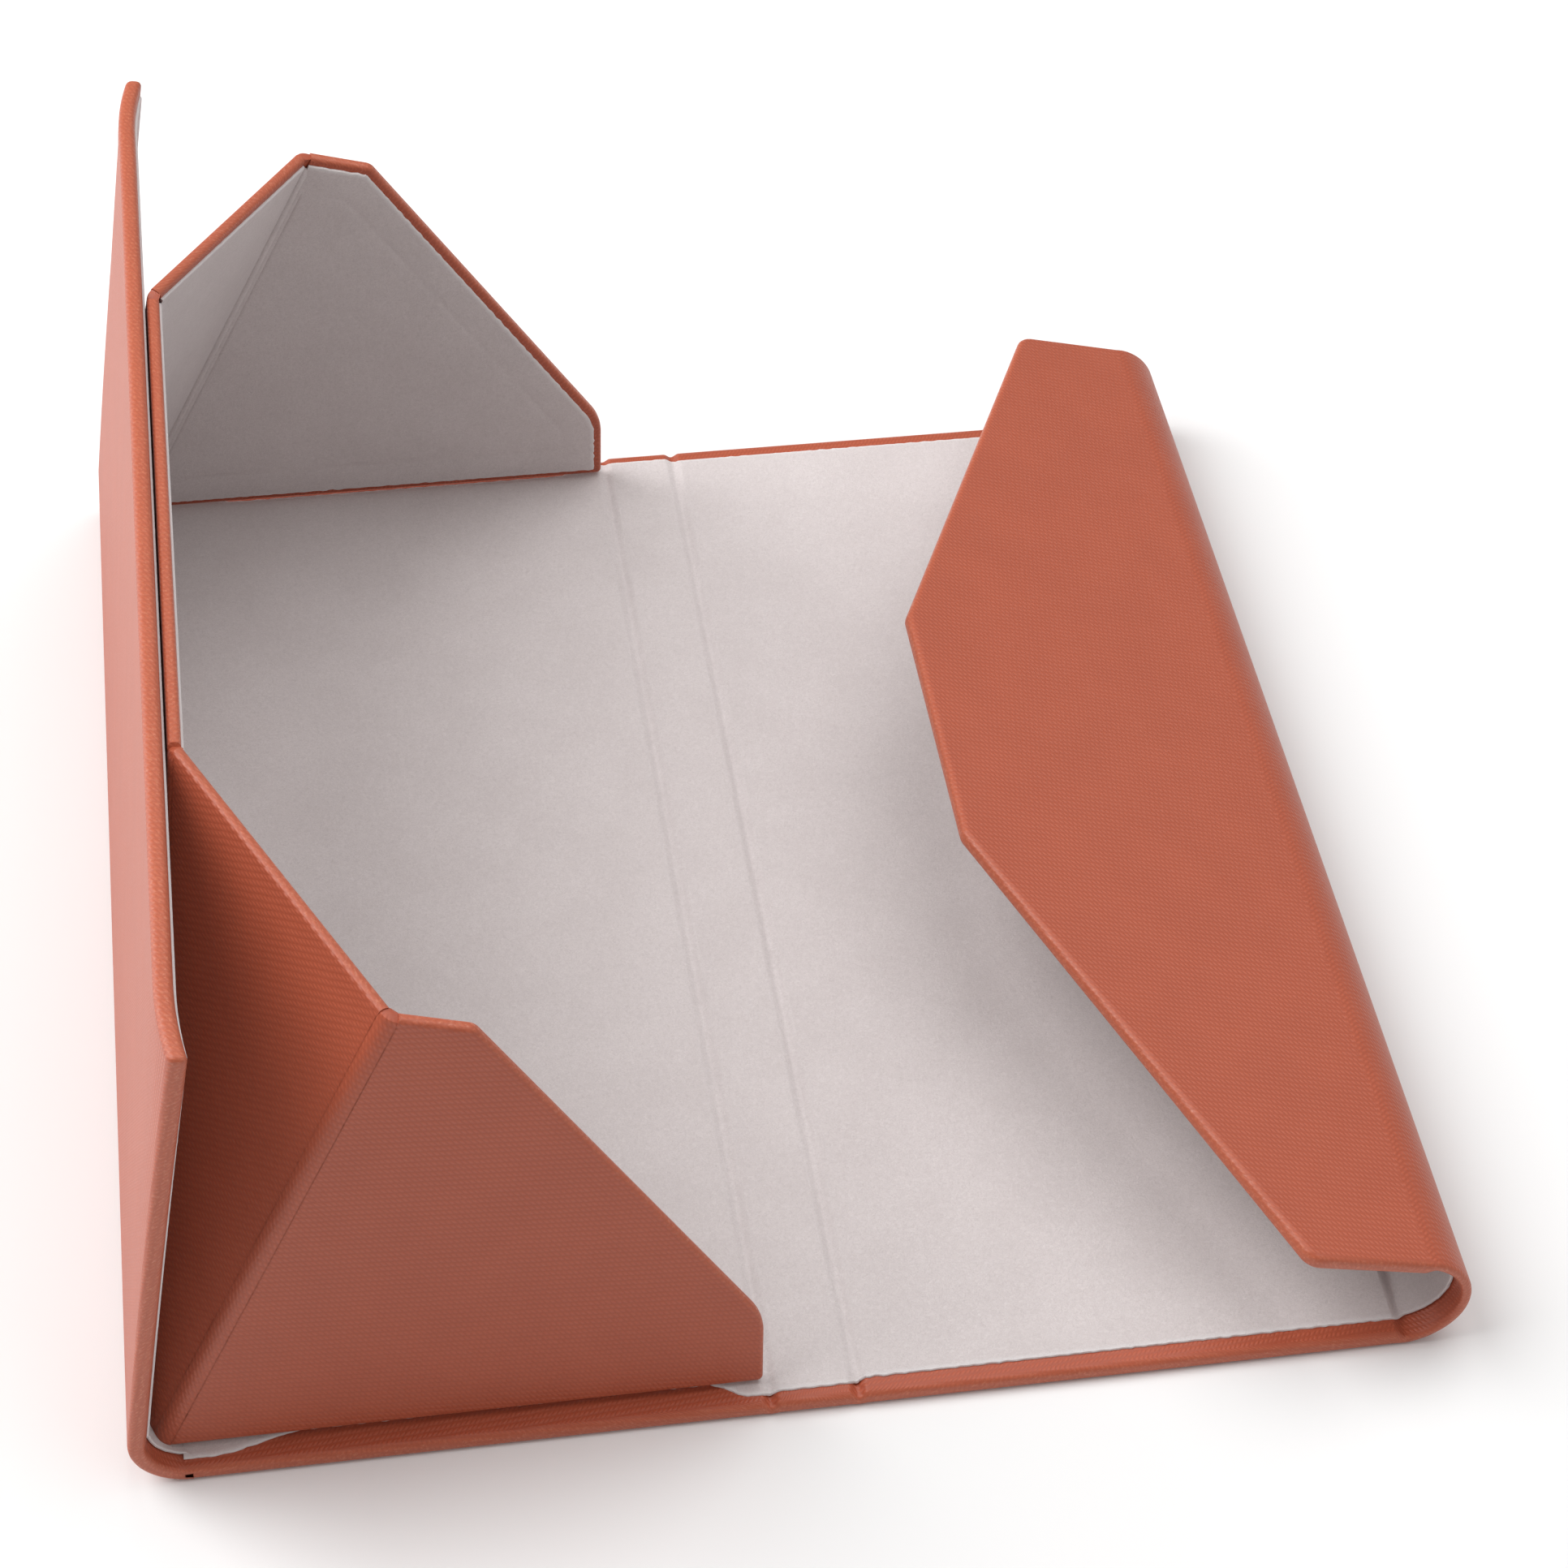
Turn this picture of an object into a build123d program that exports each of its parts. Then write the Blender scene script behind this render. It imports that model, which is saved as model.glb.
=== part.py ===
from build123d import *
from math import acos, atan2, cos, degrees, hypot, radians, sin, tan
import os

# A collapsible eyeglasses case, standing open on a table.
# A stiff cover lies flat: base, narrow fold strip, front panel, and a closing flap
# that is folded back over the front panel. A tray stands on the base: a tray wall
# glued to the cover's back wall, an end gusset at each end, and a triangular corner
# facet between wall and gusset.
# X runs across the case from the back wall to the flap, Y along its length, Z up.
# The origin is the middle of the base panel's underside.

# ---- cover panels ----
case_length = 165.0
base_width = 67.5
fold_strip_width = 10.0
front_width = 63.0
back_wall_height = 69.5
flap_strip_depth = 14.8
flap_taper_depth = 29.0
flap_free_length = 39.0

# ---- layers of the cover, from its outside to its inside ----
cover_thickness = 0.6
board_thickness = 1.3
lining_thickness = 0.5
cover_rim = 0.7
lining_margin = 1.3

# ---- layers of the tray ----
tray_skin = 0.5
tray_board = 0.8
tray_rim = 0.6
tray_lining_margin = 0.2

# ---- tray shape: angles at the bottom corner where all the creases meet ----
facet_angle = 30.0
gusset_angle = 65.0
wall_angle = 81.8
tray_wall_height = 69.0
gusset_back_slant = 69.0
gusset_front_slant = 70.6
gusset_front_angle = 58.3
gusset_front_rise = 11.0
gusset_front_radius = 9.0
gusset_foot_radius = 1.0
gusset_top_radius = 2.0
gusset_inset = 4.6

# ---- folds ----
strip_fold_max = 50.0
flap_rest_tilt = 14.0
flap_spine_radius = 7.7
back_spine_radius = 5.6
back_spine_lead = 1.5

# ---- closing magnets ----
magnet_radius = 5.0
magnet_thickness = 1.0
magnet_spacing = 24.0
magnet_edge_distance = 9.0

# ---- clearances and small corners ----
crease_clearance = 0.25
gusset_clearance = 0.3
fold_gap = 0.3
glue_gap = 0.2
flap_corner_radius = 2.5
small_corner = 0.6

# ---- what follows from them ----
straight_down = -90
half_length = case_length / 2
board_top = cover_thickness + board_thickness
panel_thickness = board_top + lining_thickness
tray_board_top = tray_skin + tray_board
tray_thickness = tray_board_top + lining_thickness
cover_layers = (cover_thickness, board_thickness)
tray_layers = (tray_skin, tray_board)
wall_hinge_x = -base_width / 2
strip_crease_x = base_width / 2
front_crease_x = strip_crease_x + fold_strip_width
flap_crease_x = front_crease_x + front_width
flap_depth = flap_strip_depth + flap_taper_depth
crease_half = (panel_thickness - cover_thickness) * tan(radians(strip_fold_max / 2)) + crease_clearance
wall_sector = 90 - facet_angle
hinge_half_length = half_length - gusset_inset
gusset_foot = base_width - gusset_clearance
lean = radians(wall_angle)
back_depth = tray_thickness + glue_gap + panel_thickness
spine_rise = back_spine_radius - panel_thickness
spine_inset = (spine_rise * cos(lean) - back_depth + back_spine_radius) / sin(lean)
spine_centre_x = wall_hinge_x + spine_inset


def up_the_wall_crease(wall_lean):
    """Unit vector from the near bottom corner up the crease between tray wall and facet."""
    sector = radians(wall_sector)
    tilt = radians(wall_lean)
    return Vector(sin(sector) * cos(tilt), cos(sector), sin(sector) * sin(tilt))


def up_the_gusset_crease(inward_lean):
    """Unit vector from the near bottom corner up the crease between gusset and facet."""
    opening = radians(gusset_angle)
    tilt = radians(inward_lean)
    return Vector(cos(opening), sin(opening) * sin(tilt), sin(opening) * cos(tilt))


def gusset_lean(wall_lean):
    """Inward lean of the gusset at which the facet just reaches between its two creases."""
    crease = up_the_wall_crease(wall_lean)
    opening = radians(gusset_angle)
    inward = crease.Y * sin(opening)
    upward = crease.Z * sin(opening)
    reach = (cos(radians(facet_angle)) - crease.X * cos(opening)) / hypot(inward, upward)
    return degrees(atan2(inward, upward) - acos(reach))


def polar(radius, angle):
    """Point of a plane at a radius and an angle in degrees."""
    return (radius * cos(radians(angle)), radius * sin(radians(angle)))


def rounded_outline(points, radii, inset):
    """Face inside the points, moved in by the inset, then rounded at each corner."""
    with BuildSketch() as outline:
        with BuildLine():
            Polyline(*points, close=True)
        make_face()
        if inset:
            offset(amount=-inset, kind=Kind.INTERSECTION)
        for point, radius in zip(points, radii):
            if radius > inset:
                fillet(outline.vertices().sort_by_distance(Vector(*point))[0], radius - inset)
    return outline.sketch


def save(part, name, is_far=False):
    """Label a finished piece and write it, as its mirror image at the far end."""
    piece = mirror(part, about=Plane.XZ) if is_far else part
    piece.label = name
    export_step(piece, "parts/" + name + ".step")


def cover_pan(name, plane, points, radii, layers, edge, rim, is_far=False):
    """Outer skin of a panel: a sheet whose rim wraps up round the board's edges."""
    skin, board = layers
    with BuildPart() as cover:
        with BuildSketch(plane):
            add(rounded_outline(points, radii, edge))
        extrude(amount=skin + board)
        with BuildSketch(plane.offset(skin)):
            add(rounded_outline(points, radii, edge + rim))
        extrude(amount=board, mode=Mode.SUBTRACT)
    save(cover.part, name + "_cover", is_far)


def stiff_board(name, plane, points, radii, layers, edge, rim, magnets=(), is_far=False):
    """Greyboard that fills the cover's pan, with a pocket on its inner side for each magnet."""
    skin, board = layers
    with BuildPart() as stiffener:
        with BuildSketch(plane.offset(skin)):
            add(rounded_outline(points, radii, edge + rim))
        extrude(amount=board)
        if magnets:
            with BuildSketch(plane.offset(skin + board - magnet_thickness)):
                with Locations(*magnets):
                    Circle(magnet_radius)
            extrude(amount=magnet_thickness, mode=Mode.SUBTRACT)
    save(stiffener.part, name + "_board", is_far)


def lining_sheet(name, plane, points, radii, layers, edge, margin, is_far=False):
    """Lining glued over the board, cut back from the panel's edge by the margin."""
    with BuildPart() as lining:
        with BuildSketch(plane.offset(sum(layers))):
            add(rounded_outline(points, radii, edge + margin))
        extrude(amount=lining_thickness)
    save(lining.part, name + "_lining", is_far)


def magnet_pair(name, plane, layers, places):
    """Two disc magnets, flush in their pockets under the lining."""
    with BuildPart() as magnets:
        with BuildSketch(plane.offset(sum(layers) - magnet_thickness)):
            with Locations(*places):
                Circle(magnet_radius)
        extrude(amount=magnet_thickness)
    save(magnets.part, name + "_magnets")


def bent_strip(name, centre, outer_radius, thickness, sweep, leads, half_width):
    """Soft strip along the case: a straight lead, an arc up from the table and a second lead."""
    with BuildPart() as strip:
        with BuildSketch(Plane.XZ):
            with BuildLine():
                outer = CenterArc(centre, outer_radius, straight_down, sweep)
                inner = CenterArc(centre, outer_radius - thickness, straight_down, sweep)
                back = (outer % 0) * -leads[0]
                ahead = (outer % 1) * leads[1]
                Polyline(outer @ 0, outer @ 0 + back, inner @ 0 + back, inner @ 0)
                Polyline(outer @ 1, outer @ 1 + ahead, inner @ 1 + ahead, inner @ 1)
            make_face()
        extrude(amount=half_width, both=True)
    save(strip.part, name)


def across(low, high):
    """Corners of a panel of the case's full length, from low to high."""
    return [(low, -half_length), (high, -half_length), (high, half_length), (low, half_length)]


os.makedirs("parts", exist_ok=True)

# ---- panels of the cover that lie flat on the table ----
flat_panels = {
    "base": (spine_centre_x + fold_gap, strip_crease_x - crease_half),
    "fold_strip": (strip_crease_x + crease_half, front_crease_x - crease_half),
    "front": (front_crease_x + crease_half, flap_crease_x - fold_gap),
}
square_corners = (small_corner,) * 4
for name, (low, high) in flat_panels.items():
    outline = across(low, high)
    cover_pan(name, Plane.XY, outline, square_corners, cover_layers, 0, cover_rim)
    stiff_board(name, Plane.XY, outline, square_corners, cover_layers, 0, cover_rim)
    lining_sheet(name, Plane.XY, outline, square_corners, cover_layers, 0, lining_margin)

# ---- soft creases on both sides of the fold strip, where only cover and lining cross ----
for name, crease_x in (("strip_crease", strip_crease_x), ("front_crease", front_crease_x)):
    with BuildPart() as crease_cover:
        with BuildSketch(Plane.XY):
            with Locations((crease_x, 0)):
                Rectangle(2 * crease_half, case_length)
        extrude(amount=cover_thickness)
    save(crease_cover.part, name + "_cover")
    with BuildPart() as crease_lining:
        with BuildSketch(Plane.XY.offset(board_top)):
            with Locations((crease_x, 0)):
                Rectangle(2 * (crease_half + lining_margin), case_length - 2 * lining_margin)
        extrude(amount=lining_thickness)
    save(crease_lining.part, name + "_lining")

# ---- rounded spine and the closing flap that folds over on it ----
flap_centre = (flap_crease_x, flap_spine_radius)
flap_sweep = 180 - flap_rest_tilt
spine_leads = (fold_gap, fold_gap)
bent_strip(
    "flap_spine_cover",
    flap_centre,
    flap_spine_radius,
    cover_thickness,
    flap_sweep,
    spine_leads,
    half_length,
)
bent_strip(
    "flap_spine_lining",
    flap_centre,
    flap_spine_radius - cover_thickness,
    lining_thickness,
    flap_sweep,
    spine_leads,
    half_length - lining_margin,
)
spine_end_angle = radians(straight_down + flap_sweep)
flap_outward = Vector(cos(spine_end_angle), 0, sin(spine_end_angle))
flap_plane = Plane(
    origin=Vector(flap_crease_x, 0, flap_spine_radius) + flap_outward * flap_spine_radius,
    x_dir=(-flap_outward.Z, 0, flap_outward.X),
    z_dir=-flap_outward,
)
flap_outline = [
    (fold_gap, -half_length),
    (flap_strip_depth, -half_length),
    (flap_depth, -flap_free_length / 2),
    (flap_depth, flap_free_length / 2),
    (flap_strip_depth, half_length),
    (fold_gap, half_length),
]
flap_radii = (small_corner,) + (flap_corner_radius,) * 4 + (small_corner,)
flap_magnets = [
    (flap_depth - magnet_edge_distance, -magnet_spacing / 2),
    (flap_depth - magnet_edge_distance, magnet_spacing / 2),
]
cover_pan("flap", flap_plane, flap_outline, flap_radii, cover_layers, 0, cover_rim)
stiff_board("flap", flap_plane, flap_outline, flap_radii, cover_layers, 0, cover_rim, flap_magnets)
lining_sheet("flap", flap_plane, flap_outline, flap_radii, cover_layers, 0, lining_margin)
magnet_pair("flap", flap_plane, cover_layers, flap_magnets)

# ---- tray wall: a trapezoid whose slanted ends are the creases to the corner facets ----
up_the_wall = Vector(cos(lean), 0, sin(lean))
through_the_wall = Vector(sin(lean), 0, -cos(lean))
wall_foot = Vector(wall_hinge_x, 0, panel_thickness)
tray_wall_plane = Plane(
    origin=wall_foot - through_the_wall * tray_thickness, x_dir=up_the_wall, z_dir=through_the_wall
)
tray_wall_top_half = hinge_half_length - tray_wall_height * tan(radians(facet_angle))
tray_wall_outline = [
    (0, -hinge_half_length),
    (tray_wall_height, -tray_wall_top_half),
    (tray_wall_height, tray_wall_top_half),
    (0, hinge_half_length),
]
cover_pan("tray_wall", tray_wall_plane, tray_wall_outline, (0,) * 4, tray_layers, fold_gap, tray_rim)
stiff_board("tray_wall", tray_wall_plane, tray_wall_outline, (0,) * 4, tray_layers, fold_gap, tray_rim)
lining_sheet(
    "tray_wall", tray_wall_plane, tray_wall_outline, (0,) * 4, tray_layers, fold_gap, tray_lining_margin
)

# ---- back wall of the cover, glued behind the tray wall, and its rounded spine ----
back_wall_low = spine_inset * cos(lean) + spine_rise * sin(lean) + back_spine_lead
back_plane = Plane(
    origin=wall_foot - through_the_wall * back_depth, x_dir=up_the_wall, z_dir=through_the_wall
)
back_outline = across(back_wall_low, back_wall_height)
back_magnets = [
    (back_wall_height - flap_depth + magnet_edge_distance, -magnet_spacing / 2),
    (back_wall_height - flap_depth + magnet_edge_distance, magnet_spacing / 2),
]
cover_pan("back_wall", back_plane, back_outline, square_corners, cover_layers, 0, cover_rim)
stiff_board("back_wall", back_plane, back_outline, square_corners, cover_layers, 0, cover_rim, back_magnets)
lining_sheet("back_wall", back_plane, back_outline, square_corners, cover_layers, 0, lining_margin)
magnet_pair("back_wall", back_plane, cover_layers, back_magnets)

back_centre = (spine_centre_x, back_spine_radius)
back_leads = (fold_gap, back_spine_lead)
back_sweep = wall_angle - 180
bent_strip(
    "back_spine_cover",
    back_centre,
    back_spine_radius,
    cover_thickness,
    back_sweep,
    back_leads,
    half_length,
)
bent_strip(
    "back_spine_lining",
    back_centre,
    back_spine_radius - cover_thickness,
    lining_thickness,
    back_sweep,
    back_leads,
    half_length - lining_margin,
)

# ---- end gussets and corner facets, made at the near end and mirrored to the far end ----
near_corner = Vector(wall_hinge_x, -hinge_half_length, panel_thickness)
rest_lean = gusset_lean(wall_angle)
through_the_gusset = Vector(0, cos(radians(rest_lean)), -sin(radians(rest_lean)))
gusset_plane = Plane(
    origin=near_corner - through_the_gusset * tray_thickness, x_dir=(-1, 0, 0), z_dir=through_the_gusset
)
gusset_outline = [
    (0, 0),
    (-gusset_foot, 0),
    (-gusset_foot, gusset_front_rise),
    polar(gusset_front_slant, 180 - gusset_front_angle),
    polar(gusset_back_slant, 180 - gusset_angle),
]
gusset_radii = (0, gusset_foot_radius, gusset_front_radius, gusset_top_radius, gusset_top_radius)

wall_crease = up_the_wall_crease(wall_angle)
gusset_crease = up_the_gusset_crease(rest_lean)
through_the_facet = wall_crease.cross(gusset_crease).normalized()
facet_plane = Plane(
    origin=near_corner - through_the_facet * tray_thickness, x_dir=wall_crease, z_dir=through_the_facet
)
facet_outline = [
    (0, 0),
    (tray_wall_height / cos(radians(facet_angle)), 0),
    polar(gusset_back_slant, facet_angle),
]
facet_radii = (0, 0, 0)

tray_ends = {
    "gusset": (gusset_plane, gusset_outline, gusset_radii),
    "corner_facet": (facet_plane, facet_outline, facet_radii),
}
for piece, (plane, outline, radii) in tray_ends.items():
    for end in ("near", "far"):
        name = end + "_" + piece
        is_far = end == "far"
        cover_pan(name, plane, outline, radii, tray_layers, fold_gap, tray_rim, is_far)
        stiff_board(name, plane, outline, radii, tray_layers, fold_gap, tray_rim, (), is_far)
        lining_sheet(name, plane, outline, radii, tray_layers, fold_gap, tray_lining_margin, is_far)
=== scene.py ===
import math

import bpy
import numpy as np
from mathutils import Matrix, Vector
from mathutils.geometry import convex_hull_2d


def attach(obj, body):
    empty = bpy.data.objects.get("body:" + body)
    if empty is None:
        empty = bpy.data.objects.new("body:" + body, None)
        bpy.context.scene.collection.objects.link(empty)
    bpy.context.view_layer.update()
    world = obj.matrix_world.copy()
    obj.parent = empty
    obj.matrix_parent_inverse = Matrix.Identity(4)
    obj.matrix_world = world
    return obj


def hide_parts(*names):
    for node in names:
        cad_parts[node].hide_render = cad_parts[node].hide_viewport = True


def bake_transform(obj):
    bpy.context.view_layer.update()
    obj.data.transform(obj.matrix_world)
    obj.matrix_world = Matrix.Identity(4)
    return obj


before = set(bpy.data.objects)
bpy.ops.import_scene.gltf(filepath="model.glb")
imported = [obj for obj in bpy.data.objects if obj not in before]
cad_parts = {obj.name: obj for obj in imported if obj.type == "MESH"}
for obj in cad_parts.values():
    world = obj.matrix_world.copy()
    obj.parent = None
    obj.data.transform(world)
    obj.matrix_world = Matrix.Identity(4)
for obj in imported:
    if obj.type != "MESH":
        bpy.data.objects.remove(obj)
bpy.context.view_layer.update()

# A collapsible eyeglasses case in embossed leatherette over greyboard, lined with microsuede.
# Shapes are worked out in millimetres, in the plane of each panel, and go into the meshes in metres.
MM = 0.001

# ---- layers: a skin of leather, a board, the skin's rim beside the board, a lining ----
COVER_SKIN = 0.6
COVER_BOARD = 1.3
COVER_RIM = 0.7
TRAY_SKIN = 0.5
TRAY_BOARD = 0.8
TRAY_RIM = 0.6
LINING = 0.5
TURN_IN_RISE = 0.15
COVER_TURN_IN = 4.5
TRAY_TURN_IN = 3.0

# ---- edges and folds ----
COVER_EDGE_RADIUS = 0.75
TRAY_EDGE_RADIUS = 0.55
COVER_LINING_MARGIN = 1.5
TRAY_LINING_MARGIN = 1.1
SPINE_LINING_MARGIN = 3.0
BACK_SPINE_LINING_MARGIN = 2.1
LINING_MARGINS = {"fold_strip": 1.75, "front": 2.3}
RAGGED_EDGE = 0.035
LEAST_RADIUS = 0.2

# ---- strips that bend ----
CREASE_RIM = 1.35
SPINE_RIM = 1.25
BACK_SPINE_RIM = 1.95
STRIP_EDGE_RADIUS = 0.55
BEND_LEAD = 0.3
RIM_RUN = 1.6
MARGIN_RUN = 2.5
LIFT_WIDTH = 3.0
LONG_STRIP = 4.0

# ---- how the lining and the back wall give way ----
BASE_LINING_RETREAT = 2.2
RETREAT_AT_SPINE = (3, 11)
RETREAT_AT_STRIP = (1, 5)
GUSSET_GROOVE = (5.6, 0.8, 0.1)
WALL_CURL = 1.2
WALL_CURL_START = 72.0

# ---- folds of the tray ----
FOLD_OVERHANG = 0.4
FOLD_WEAR = 0.05
FILLET_REACH = 0.9
ROUND_FOLD_RADIUS = 0.55

# ---- how finely the forms are divided ----
CORNER_STEPS = 9
ROUND_STEPS = 5
EDGE_SPACING = 0.5
FACE_SHARES = (0.3, 0.6, 0.85, 0.96, 0.99)
LONG_EDGE = 3.0
STRAIGHT = 0.99995
PARALLEL = 0.99999
SMOOTH_ANGLE = 38.0


# ======== reading the frame ========
def node_points(name):
    """Vertices of a CAD node, in millimetres."""
    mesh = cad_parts[name].data
    points = np.empty(len(mesh.vertices) * 3, np.float32)
    mesh.vertices.foreach_get("co", points)
    return points.reshape(-1, 3).astype(float) / MM


def face_direction(name):
    """Direction that most of a node's area faces: the main axis of its faces' normals."""
    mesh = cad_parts[name].data
    normals = np.array([face.normal for face in mesh.polygons])
    areas = np.array([face.area for face in mesh.polygons])
    return np.linalg.eigh((normals * areas[:, None]).T @ normals)[1][:, -1]


def unit(vector):
    return np.asarray(vector, float) / np.linalg.norm(vector)


class Panel:
    """A flat panel's plane, outline, corner radii and joined sides, read from its cover in the frame.

    A point of the panel is origin + u * across + v * along + height * inward, where inward
    points from the outer face to the lining.
    """

    def __init__(self, name, is_joined, along=None):
        cover = node_points(name + "_cover")
        lining = node_points(name + "_lining")
        inward = face_direction(name + "_cover")
        self.inward = inward * np.sign(inward @ (lining.mean(0) - cover.mean(0)))
        if along is None:
            across = unit(np.array((1.0, 0.0, 0.0)) - self.inward[0] * self.inward)
            along = np.cross(self.inward, across)
        self.along = unit(along - (along @ self.inward) * self.inward)
        self.across = np.cross(self.along, self.inward)
        self.origin = self.inward * (cover @ self.inward).min()
        flat = np.column_stack((cover @ self.across, cover @ self.along))
        self.read_outline(flat)
        ways = -self.side_normals()
        ways3 = ways[:, :1] * self.across + ways[:, 1:] * self.along
        self.joined = np.array([is_joined(way) for way in ways3])
        first = int(np.argmax(self.joined))
        self.corners = np.roll(self.corners, -first, 0)
        self.radii = np.roll(self.radii, -first)
        self.joined = np.roll(self.joined, -first)
        self.radii[self.joined | np.roll(self.joined, 1)] = 0
        self.u_shift = 0.0
        self.bow = None

    def read_outline(self, flat):
        """Corners where the long straight sides meet, and the radius that rounds each one off."""
        hull = flat[convex_hull_2d([tuple(p) for p in flat])]
        after = np.roll(hull, -1, 0)
        turned = (hull[:, 0] * after[:, 1] - after[:, 0] * hull[:, 1]).sum() < 0
        if turned:
            hull = hull[::-1]
            after = np.roll(hull, -1, 0)
        lengths = np.linalg.norm(after - hull, axis=1)
        ways = (after - hull) / np.maximum(lengths, 1e-9)[:, None]
        sides = []
        for start, end, way, length in zip(hull, after, ways, lengths):
            if length < LONG_EDGE:
                continue
            if sides and sides[-1][2] @ way > STRAIGHT:
                sides[-1][1] = end
            else:
                sides.append([start, end, way])
        if sides[0][2] @ sides[-1][2] > STRAIGHT:
            sides[0][0] = sides.pop()[0]
        corners, radii = [], []
        for before, side in zip(sides[-1:] + sides[:-1], sides):
            normals = np.array([[-w[1], w[0]] for w in (before[2], side[2])])
            corner = np.linalg.solve(normals, (normals * np.array((before[0], side[0]))).sum(1))
            turn = math.acos(max(-1.0, min(1.0, float(before[2] @ side[2]))))
            trimmed = np.linalg.norm(side[0] - corner)
            corners.append(corner)
            radii.append(trimmed / math.tan(turn / 2) if trimmed > 0.02 else 0.0)
        self.corners = np.array(corners)
        self.radii = np.array(radii)

    def side_normals(self):
        """Inward normal of each side, in the panel's plane."""
        ways = np.roll(self.corners, -1, 0) - self.corners
        ways /= np.linalg.norm(ways, axis=1)[:, None]
        return np.column_stack((-ways[:, 1], ways[:, 0]))

    def ring(self, free_inset, joined_inset):
        """Outline moved in by an inset, free and joined sides each by its own.

        Each side's line moves along its normal, neighbouring lines are intersected, and an arc
        of the corner's radius less the inset joins them.
        """
        normals = self.side_normals()
        insets = np.where(self.joined, joined_inset, free_inset)
        before = np.roll(normals, 1, 0)
        sums = np.column_stack(((before * self.corners).sum(1) + np.roll(insets, 1),
                                (normals * self.corners).sum(1) + insets))
        corners = np.linalg.solve(np.stack((before, normals), 1), sums[..., None])[..., 0]
        pieces = []
        starts, ends = [], []
        for corner, radius, n0, n1 in zip(corners, self.radii, before, normals):
            if radius == 0:
                arc = corner[None]
            else:
                radius = max(radius - free_inset, LEAST_RADIUS)
                centre = corner + (n0 + n1) * radius / (1 + n0 @ n1)
                turn = math.atan2(n0[0] * n1[1] - n0[1] * n1[0], n0 @ n1)
                angles = np.linspace(0, turn, CORNER_STEPS)
                turned = np.column_stack((n0[0] * np.cos(angles) - n0[1] * np.sin(angles),
                                          n0[0] * np.sin(angles) + n0[1] * np.cos(angles)))
                arc = centre - radius * turned
            pieces.append(arc)
            starts.append(arc[-1])
            ends.append(arc[0])
        whole = []
        for i, arc in enumerate(pieces):
            end = ends[(i + 1) % len(ends)]
            steps = self.side_steps()[i]
            shares = np.linspace(0, 1, steps + 1)[1:-1, None]
            whole += [arc, starts[i] + shares * (end - starts[i])]
        return np.concatenate(whole)

    def side_steps(self):
        """Number of steps along each side, so that its points lie about one edge spacing apart."""
        lengths = np.linalg.norm(np.roll(self.corners, -1, 0) - self.corners, axis=1)
        return np.maximum(2, np.ceil(lengths / EDGE_SPACING)).astype(int)

    def ring_normals(self):
        """Inward direction at each point of a ring, none at the points of a joined side."""
        normals = self.side_normals()
        before = np.roll(normals, 1, 0)
        was_joined = np.roll(self.joined, 1)
        whole = []
        for i, steps in enumerate(self.side_steps()):
            count = 1 if self.radii[i] == 0 else CORNER_STEPS
            shares = np.linspace(0, 1, count)[:, None] if count > 1 else np.full((1, 1), 0.5)
            corner = before[i] * (1 - shares) + normals[i] * shares
            loose = 0.0 if self.joined[i] or was_joined[i] else 1.0
            whole.append(corner * loose)
            whole.append(np.tile(normals[i] * (0.0 if self.joined[i] else 1.0), (steps - 1, 1)))
        return np.concatenate(whole)

    def place(self, flat, height):
        """Points of the frame for points of the panel's plane at a height above its outer face."""
        height = np.broadcast_to(height, flat.shape[:1])
        if self.bow is not None:
            height = height + self.bow(flat)
        return (self.origin + flat[:, :1] * self.across + flat[:, 1:] * self.along
                + height[:, None] * self.inward)

    def side_point(self, way):
        """Middle of the joined side that faces a direction, on the outer face."""
        normals = -self.side_normals()
        ways = normals[:, :1] * self.across + normals[:, 1:] * self.along
        side = int(np.argmax(ways @ np.asarray(way, float)))
        middle = (self.corners[side] + self.corners[(side + 1) % len(self.corners)]) / 2
        return self.place(middle[None], 0.0)[0]


# ======== putting surfaces into meshes ========
def make_piece(name, points, faces, pattern, fold):
    """A closed mesh with its faces turned outward, a UV map in millimetres and a fold attribute."""
    mesh = bpy.data.meshes.new(name)
    first, second, third = (points[[face[i] for face in faces]] for i in range(3))
    fan = np.einsum("ij,ij->i", first, np.cross(second, third)).sum()
    for extra in (face for face in faces if len(face) > 3):
        for j in range(2, len(extra) - 1):
            fan += points[extra[0]] @ np.cross(points[extra[j]], points[extra[j + 1]])
    if fan < 0:
        faces = [face[::-1] for face in faces]
    mesh.from_pydata(points * MM, [], faces)
    corner_vertex = np.empty(len(mesh.loops), np.int32)
    mesh.loops.foreach_get("vertex_index", corner_vertex)
    uv = mesh.uv_layers.new(name="Sheet")
    uv.data.foreach_set("uv", pattern[corner_vertex].astype(np.float32).ravel())
    mesh.attributes.new("fold", "FLOAT", "POINT").data.foreach_set("value", fold.astype(np.float32))
    mesh.polygons.foreach_set("use_smooth", np.ones(len(mesh.polygons), bool))
    mesh.set_sharp_from_angle(angle=math.radians(SMOOTH_ANGLE))
    mesh.update()
    piece = bpy.data.objects.new(name, mesh)
    bpy.context.scene.collection.objects.link(piece)
    return piece


def ring_faces(rings, count):
    """Quads between closed rings of the same number of points."""
    base = np.arange(rings - 1)[:, None] * count + np.arange(count)
    side = np.arange(rings - 1)[:, None] * count + (np.arange(count) + 1) % count
    return np.stack((base, side, side + count, base + count), -1).reshape(-1, 4).tolist()


def capped_faces(rings, count):
    """Quads between closed rings, with a flat cap on the first ring and on the last."""
    faces = ring_faces(rings, count)
    faces.append(list(range(count))[::-1])
    faces.append(list(range((rings - 1) * count, rings * count)))
    return faces


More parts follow.
